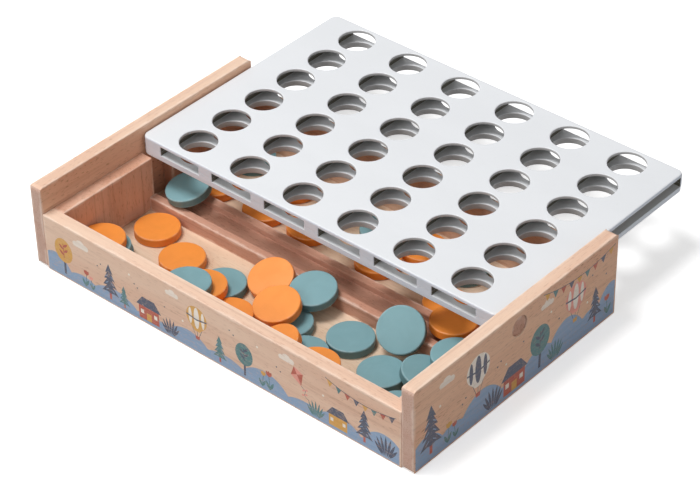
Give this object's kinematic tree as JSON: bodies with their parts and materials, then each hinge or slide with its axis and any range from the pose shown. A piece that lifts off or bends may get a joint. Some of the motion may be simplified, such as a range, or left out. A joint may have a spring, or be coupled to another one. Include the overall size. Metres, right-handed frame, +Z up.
{
  "type": "four in a row game",
  "caption": "Wooden case with a sliding, tilting disc board for four in a row and loose discs of two colours in its tray.",
  "frame": {"origin": "middle of the case's underside, on the surface it stands on", "axes": "+X along the front to the right, +Y from the front to the back, +Z up"},
  "size_m": [0.307, 0.2731, 0.0605],
  "materials": {
    "beech": "sanded pale beech with a printed front and right panel",
    "inner_beech": "sanded pale beech, bare",
    "plywood": "sanded light plywood",
    "board_plastic": "satin off-white moulding",
    "orange_lacquer": "satin orange",
    "teal_lacquer": "satin grey-teal"
  },
  "bodies": {
    "case": {"base_panel": "plywood", "front_panel": "beech", "back_panel": "beech", "side_panel_left": "beech", "side_panel_right": "beech", "inner_wall_front_left": "inner_beech", "inner_wall_front_right": "inner_beech", "inner_wall_rear_left": "inner_beech", "inner_wall_rear_right": "inner_beech", "channel_beam": "inner_beech"},
    "pivot_pins": {"pivot_pin_left": "beech", "pivot_pin_right": "beech"},
    "board": {"board_bottom_shell": "board_plastic", "board_top_shell": "board_plastic"},
    "disc_orange_01": {"orange_01": "orange_lacquer"},
    "disc_teal_01": {"teal_01": "teal_lacquer"},
    "disc_orange_02": {"orange_02": "orange_lacquer"},
    "disc_teal_02": {"teal_02": "teal_lacquer"},
    "disc_orange_03": {"orange_03": "orange_lacquer"},
    "disc_teal_03": {"teal_03": "teal_lacquer"},
    "disc_teal_04": {"teal_04": "teal_lacquer"},
    "disc_teal_05": {"teal_05": "teal_lacquer"},
    "disc_teal_06": {"teal_06": "teal_lacquer"},
    "disc_teal_18": {"teal_18": "teal_lacquer"},
    "disc_orange_11": {"orange_11": "orange_lacquer"},
    "disc_orange_12": {"orange_12": "orange_lacquer"},
    "disc_orange_13": {"orange_13": "orange_lacquer"},
    "disc_orange_14": {"orange_14": "orange_lacquer"},
    "disc_orange_15": {"orange_15": "orange_lacquer"},
    "disc_teal_13": {"teal_13": "teal_lacquer"},
    "disc_orange_16": {"orange_16": "orange_lacquer"},
    "disc_teal_14": {"teal_14": "teal_lacquer"},
    "disc_teal_15": {"teal_15": "teal_lacquer"},
    "disc_orange_17": {"orange_17": "orange_lacquer"},
    "disc_teal_16": {"teal_16": "teal_lacquer"},
    "disc_orange_18": {"orange_18": "orange_lacquer"},
    "disc_orange_04": {"orange_04": "orange_lacquer"},
    "disc_teal_07": {"teal_07": "teal_lacquer"},
    "disc_teal_08": {"teal_08": "teal_lacquer"},
    "disc_teal_17": {"teal_17": "teal_lacquer"},
    "disc_orange_05": {"orange_05": "orange_lacquer"},
    "disc_orange_06": {"orange_06": "orange_lacquer"},
    "disc_teal_10": {"teal_10": "teal_lacquer"},
    "disc_orange_07": {"orange_07": "orange_lacquer"},
    "disc_orange_08": {"orange_08": "orange_lacquer"},
    "disc_orange_09": {"orange_09": "orange_lacquer"},
    "disc_teal_11": {"teal_11": "teal_lacquer"},
    "disc_teal_09": {"teal_09": "teal_lacquer"},
    "disc_orange_10": {"orange_10": "orange_lacquer"},
    "disc_teal_12": {"teal_12": "teal_lacquer"}
  },
  "joints": [
    {"name": "board_tilt", "type": "hinge", "parent": "case", "child": "pivot_pins", "pos_m": [0, 0, 0.0489], "axis": [1, 0, 0], "range_deg": [0, 90]},
    {"name": "board_slide", "type": "slide", "parent": "pivot_pins", "child": "board", "axis": [0, 1, 0], "range_m": [-0.17, 0]},
    {"name": "lift_orange_01", "type": "slide", "parent": "case", "child": "disc_orange_01", "axis": [0, 0, 1], "range_m": [0, 0.06]},
    {"name": "lift_teal_01", "type": "slide", "parent": "case", "child": "disc_teal_01", "axis": [0, 0, 1], "range_m": [0, 0.06]},
    {"name": "lift_orange_02", "type": "slide", "parent": "case", "child": "disc_orange_02", "axis": [0, 0, 1], "range_m": [0, 0.06]},
    {"name": "lift_teal_02", "type": "slide", "parent": "case", "child": "disc_teal_02", "axis": [0, 0, 1], "range_m": [0, 0.06]},
    {"name": "shift_orange_03", "type": "slide", "parent": "case", "child": "disc_orange_03", "axis": [0, -1, 0], "range_m": [0, 0.007]},
    {"name": "shift_teal_03", "type": "slide", "parent": "case", "child": "disc_teal_03", "axis": [-1, 0, 0], "range_m": [0, 0.005]},
    {"name": "lift_teal_04", "type": "slide", "parent": "case", "child": "disc_teal_04", "axis": [0, 0, 1], "range_m": [0, 0.06]},
    {"name": "lift_teal_05", "type": "slide", "parent": "case", "child": "disc_teal_05", "axis": [0, 0, 1], "range_m": [0, 0.06]},
    {"name": "lift_teal_06", "type": "slide", "parent": "case", "child": "disc_teal_06", "axis": [0, 0, 1], "range_m": [0, 0.006]},
    {"name": "lift_teal_18", "type": "slide", "parent": "case", "child": "disc_teal_18", "axis": [0, 0, 1], "range_m": [0, 0.06]},
    {"name": "lift_orange_11", "type": "slide", "parent": "case", "child": "disc_orange_11", "axis": [0, 0, 1], "range_m": [0, 0.0035]},
    {"name": "lift_orange_12", "type": "slide", "parent": "case", "child": "disc_orange_12", "axis": [0, 0, 1], "range_m": [0, 0.03]},
    {"name": "lift_orange_13", "type": "slide", "parent": "case", "child": "disc_orange_13", "axis": [0, 0, 1], "range_m": [0, 0.03]},
    {"name": "lift_orange_14", "type": "slide", "parent": "case", "child": "disc_orange_14", "axis": [0, 0, 1], "range_m": [0, 0.03]},
    {"name": "lift_orange_15", "type": "slide", "parent": "case", "child": "disc_orange_15", "axis": [0, 0, 1], "range_m": [0, 0.0035]},
    {"name": "lift_teal_13", "type": "slide", "parent": "case", "child": "disc_teal_13", "axis": [0, 0, 1], "range_m": [0, 0.03]},
    {"name": "lift_orange_16", "type": "slide", "parent": "case", "child": "disc_orange_16", "axis": [0, 0, 1], "range_m": [0, 0.03]},
    {"name": "lift_teal_14", "type": "slide", "parent": "case", "child": "disc_teal_14", "axis": [0, 0, 1], "range_m": [0, 0.03]},
    {"name": "lift_teal_15", "type": "slide", "parent": "case", "child": "disc_teal_15", "axis": [0, 0, 1], "range_m": [0, 0.03]},
    {"name": "lift_orange_17", "type": "slide", "parent": "case", "child": "disc_orange_17", "axis": [0, 0, 1], "range_m": [0, 0.03]},
    {"name": "lift_teal_16", "type": "slide", "parent": "case", "child": "disc_teal_16", "axis": [0, 0, 1], "range_m": [0, 0.03]},
    {"name": "lift_orange_18", "type": "slide", "parent": "case", "child": "disc_orange_18", "axis": [0, 0, 1], "range_m": [0, 0.03]},
    {"name": "lift_orange_04", "type": "slide", "parent": "case", "child": "disc_orange_04", "axis": [0, 0, 1], "range_m": [0, 0.06]},
    {"name": "lift_teal_07", "type": "slide", "parent": "case", "child": "disc_teal_07", "axis": [0, 0, 1], "range_m": [0, 0.012]},
    {"name": "lift_teal_08", "type": "slide", "parent": "case", "child": "disc_teal_08", "axis": [0, 0, 1], "range_m": [0, 0.01]},
    {"name": "lift_teal_17", "type": "slide", "parent": "disc_teal_01", "child": "disc_teal_17", "axis": [0, 0, 1], "range_m": [0, 0.06]},
    {"name": "lift_orange_05", "type": "slide", "parent": "disc_teal_17", "child": "disc_orange_05", "axis": [0, 0, 1], "range_m": [0, 0.06]},
    {"name": "lift_orange_06", "type": "slide", "parent": "disc_teal_02", "child": "disc_orange_06", "axis": [0, 0, 1], "range_m": [0, 0.06]},
    {"name": "lift_teal_10", "type": "slide", "parent": "disc_orange_06", "child": "disc_teal_10", "axis": [0, 0, 1], "range_m": [0, 0.06]},
    {"name": "lift_orange_07", "type": "slide", "parent": "disc_teal_07", "child": "disc_orange_07", "axis": [0, 0, 1], "range_m": [0, 0.048]},
    {"name": "lift_orange_08", "type": "slide", "parent": "disc_teal_04", "child": "disc_orange_08", "axis": [0, 0, 1], "range_m": [0, 0.06]},
    {"name": "lift_orange_09", "type": "slide", "parent": "disc_teal_04", "child": "disc_orange_09", "axis": [0, 0, 1], "range_m": [0, 0.06]},
    {"name": "lift_teal_11", "type": "slide", "parent": "disc_teal_06", "child": "disc_teal_11", "axis": [0, 0, 1], "range_m": [0, 0.006]},
    {"name": "lift_teal_09", "type": "slide", "parent": "disc_teal_11", "child": "disc_teal_09", "axis": [0, 0, 1], "range_m": [0, 0.006]},
    {"name": "lift_orange_10", "type": "slide", "parent": "case", "child": "disc_orange_10", "axis": [0, 0, 1], "range_m": [0, 0.02]},
    {"name": "lift_teal_12", "type": "slide", "parent": "case", "child": "disc_teal_12", "axis": [0, 0, 1], "range_m": [0, 0.014]}
  ]
}
